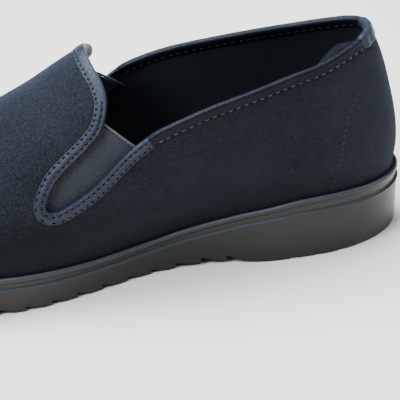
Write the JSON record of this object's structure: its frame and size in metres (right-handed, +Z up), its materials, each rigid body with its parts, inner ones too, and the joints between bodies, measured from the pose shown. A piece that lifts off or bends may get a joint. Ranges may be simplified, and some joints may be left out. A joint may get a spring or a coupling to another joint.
{
  "type": "chinese cloth shoe",
  "caption": "Low black cloth slip-on shoe with elastic side gussets, bound collar and a one-piece moulded sole.",
  "frame": {"origin": "on the floor under the middle of the heel seat, where the flat of the heel meets the floor", "axes": "+X from heel to toe along the length, +Y to the inner side of the foot, +Z up"},
  "size_m": [0.2769, 0.0959, 0.1078],
  "materials": {
    "sole_rubber": "satin moulded rubber",
    "lining": "matt cloth lining",
    "cloth": "matt fine weave cloth",
    "binding": "slightly shiny woven binding",
    "tape": "matt folded cloth tape",
    "elastic": "ribbed elastic webbing"
  },
  "bodies": {
    "root": {"outsole": "sole_rubber", "insole": "lining", "upper": "cloth", "collar_binding": "binding", "tongue_binding": "binding", "gusset_tape_inner": "tape", "gusset_tape_outer": "tape", "gusset_elastic_inner": "elastic", "gusset_elastic_outer": "elastic"}
  },
  "joints": []
}
